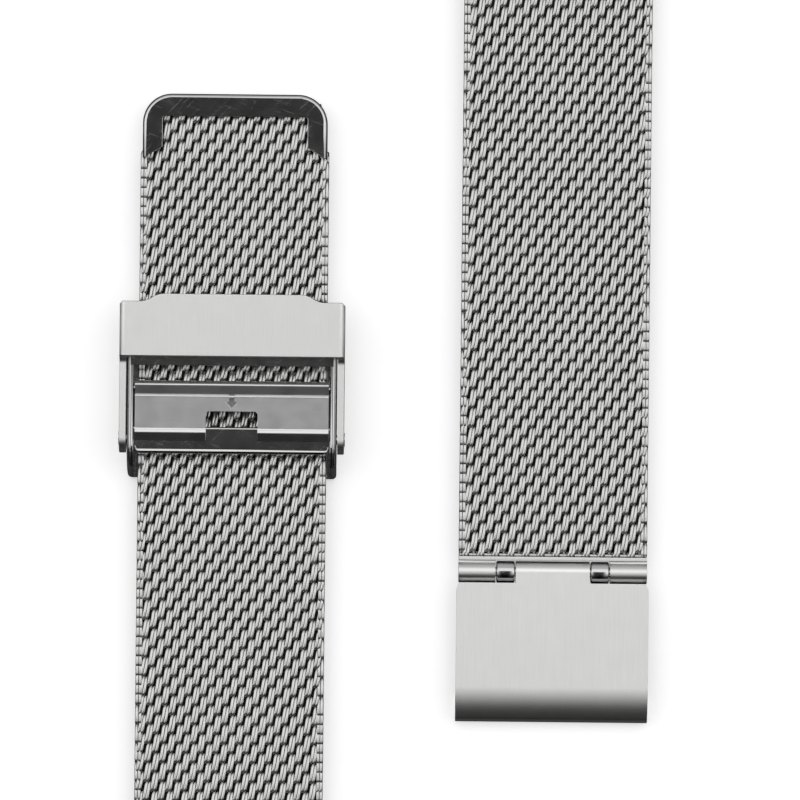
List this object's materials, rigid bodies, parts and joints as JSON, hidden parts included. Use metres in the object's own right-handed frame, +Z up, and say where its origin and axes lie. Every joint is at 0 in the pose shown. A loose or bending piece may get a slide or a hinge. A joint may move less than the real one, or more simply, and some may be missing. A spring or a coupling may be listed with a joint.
{
  "type": "milanese mesh band",
  "caption": "Woven steel watch band in two halves, with a sliding clasp, cam lever, folding safety lid and hinged hook plate, and spring bars at the case ends.",
  "frame": {"origin": "bottom centre of the box round both halves as they lie side by side", "axes": "+Y along the band, from the long half's case end to its tip; +X across the band, from the long half to the short half; +Z up, out of the band's outer face"},
  "size_m": [0.0572, 0.1408, 0.006],
  "materials": {
    "woven_mesh": "woven bright steel wire",
    "polished_cap": "polished steel",
    "brushed_clasp": "fine straight brushing",
    "polished_frame": "polished steel",
    "satin_lever": "satin with bright bends",
    "spring_bar": "plain turned steel"
  },
  "bodies": {
    "long_strap": {"long_mesh_slide": "woven_mesh", "tip_cap": "polished_cap"},
    "clasp": {"clasp_frame": "polished_frame", "lever_pin": "polished_frame", "lid_rivets": "polished_frame"},
    "lever": {"lock_lever": "satin_lever"},
    "lid": {"safety_lid": "brushed_clasp"},
    "long_link_1": {"long_mesh_1": "woven_mesh"},
    "long_link_2": {"long_mesh_2": "woven_mesh"},
    "long_link_3": {"long_mesh_3": "woven_mesh"},
    "long_link_4": {"long_mesh_4": "woven_mesh"},
    "long_link_5": {"long_mesh_5": "woven_mesh", "long_case_end": "brushed_clasp"},
    "short_link_1": {"short_mesh_1": "woven_mesh", "hinge_end": "brushed_clasp", "hinge_pin": "polished_frame", "hinge_sleeves": "polished_frame"},
    "short_link_2": {"short_mesh_2": "woven_mesh"},
    "short_link_3": {"short_mesh_3": "woven_mesh"},
    "short_link_4": {"short_mesh_4": "woven_mesh"},
    "short_link_5": {"short_mesh_5": "woven_mesh"},
    "short_link_6": {"short_mesh_6": "woven_mesh"},
    "short_link_7": {"short_mesh_7": "woven_mesh"},
    "short_link_8": {"short_mesh_8": "woven_mesh", "short_case_end": "brushed_clasp"},
    "hook": {"hook_plate": "brushed_clasp"},
    "long_bar": {"long_bar_tube": "spring_bar", "long_bar_spring": "spring_bar"},
    "long_bar_left": {"long_plunger_left": "spring_bar"},
    "long_bar_right": {"long_plunger_right": "spring_bar"},
    "short_bar": {"short_bar_tube": "spring_bar", "short_bar_spring": "spring_bar"},
    "short_bar_left": {"short_plunger_left": "spring_bar"},
    "short_bar_right": {"short_plunger_right": "spring_bar"}
  },
  "joints": [
    {"name": "clasp_slide", "type": "slide", "parent": "long_strap", "child": "clasp", "axis": [0, 1, 0], "range_m": [-0.035, 0.016]},
    {"name": "lever_turn", "type": "hinge", "parent": "clasp", "child": "lever", "pos_m": [-0.01661, 0.01923, 0.00338], "axis": [-1, 0, 0], "range_deg": [0, 75]},
    {"name": "lid_turn", "type": "hinge", "parent": "clasp", "child": "lid", "pos_m": [-0.01661, 0.01393, 0.0035], "axis": [1, 0, 0], "range_deg": [0, 150]},
    {"name": "long_bend_1", "type": "hinge", "parent": "long_strap", "child": "long_link_1", "pos_m": [-0.01661, -0.02611, 0.00155], "axis": [1, 0, 0], "range_deg": [-24, 24]},
    {"name": "long_bend_2", "type": "hinge", "parent": "long_link_1", "child": "long_link_2", "pos_m": [-0.01661, -0.03423, 0.00155], "axis": [1, 0, 0], "range_deg": [-24, 24]},
    {"name": "long_bend_3", "type": "hinge", "parent": "long_link_2", "child": "long_link_3", "pos_m": [-0.01661, -0.04235, 0.00155], "axis": [1, 0, 0], "range_deg": [-24, 24]},
    {"name": "long_bend_4", "type": "hinge", "parent": "long_link_3", "child": "long_link_4", "pos_m": [-0.01661, -0.05047, 0.00155], "axis": [1, 0, 0], "range_deg": [-24, 24]},
    {"name": "long_bend_5", "type": "hinge", "parent": "long_link_4", "child": "long_link_5", "pos_m": [-0.01661, -0.05859, 0.00155], "axis": [1, 0, 0], "range_deg": [-24, 24]},
    {"name": "short_half_apart", "type": "slide", "parent": "long_strap", "child": "short_link_1", "axis": [1, 0, 0], "range_m": [0, 0.02]},
    {"name": "hook_turn", "type": "hinge", "parent": "short_link_1", "child": "hook", "pos_m": [0.01759, 0.0001, 0.00155], "axis": [1, 0, 0], "range_deg": [-80, 80]},
    {"name": "short_bend_1", "type": "hinge", "parent": "short_link_1", "child": "short_link_2", "pos_m": [0.01759, 0.00987, 0.00155], "axis": [1, 0, 0], "range_deg": [-24, 24]},
    {"name": "short_bend_2", "type": "hinge", "parent": "short_link_2", "child": "short_link_3", "pos_m": [0.01759, 0.01799, 0.00155], "axis": [1, 0, 0], "range_deg": [-24, 24]},
    {"name": "short_bend_3", "type": "hinge", "parent": "short_link_3", "child": "short_link_4", "pos_m": [0.01759, 0.02611, 0.00155], "axis": [1, 0, 0], "range_deg": [-24, 24]},
    {"name": "short_bend_4", "type": "hinge", "parent": "short_link_4", "child": "short_link_5", "pos_m": [0.01759, 0.03423, 0.00155], "axis": [1, 0, 0], "range_deg": [-24, 24]},
    {"name": "short_bend_5", "type": "hinge", "parent": "short_link_5", "child": "short_link_6", "pos_m": [0.01759, 0.04235, 0.00155], "axis": [1, 0, 0], "range_deg": [-24, 24]},
    {"name": "short_bend_6", "type": "hinge", "parent": "short_link_6", "child": "short_link_7", "pos_m": [0.01759, 0.05047, 0.00155], "axis": [1, 0, 0], "range_deg": [-24, 24]},
    {"name": "short_bend_7", "type": "hinge", "parent": "short_link_7", "child": "short_link_8", "pos_m": [0.01759, 0.05859, 0.00155], "axis": [1, 0, 0], "range_deg": [-24, 24]},
    {"name": "long_bar_spin", "type": "hinge", "parent": "long_link_5", "child": "long_bar", "pos_m": [-0.01661, -0.06901, 0.00155], "axis": [1, 0, 0], "continuous": true},
    {"name": "long_left_press", "type": "slide", "parent": "long_bar", "child": "long_bar_left", "axis": [1, 0, 0], "range_m": [0, 0.0011], "stiffness_N_per_m": 300},
    {"name": "long_right_press", "type": "slide", "parent": "long_bar", "child": "long_bar_right", "axis": [-1, 0, 0], "range_m": [0, 0.0011], "stiffness_N_per_m": 300},
    {"name": "short_bar_spin", "type": "hinge", "parent": "short_link_8", "child": "short_bar", "pos_m": [0.01759, 0.06901, 0.00155], "axis": [1, 0, 0], "continuous": true},
    {"name": "short_left_press", "type": "slide", "parent": "short_bar", "child": "short_bar_left", "axis": [1, 0, 0], "range_m": [0, 0.0011], "stiffness_N_per_m": 300},
    {"name": "short_right_press", "type": "slide", "parent": "short_bar", "child": "short_bar_right", "axis": [-1, 0, 0], "range_m": [0, 0.0011], "stiffness_N_per_m": 300}
  ]
}
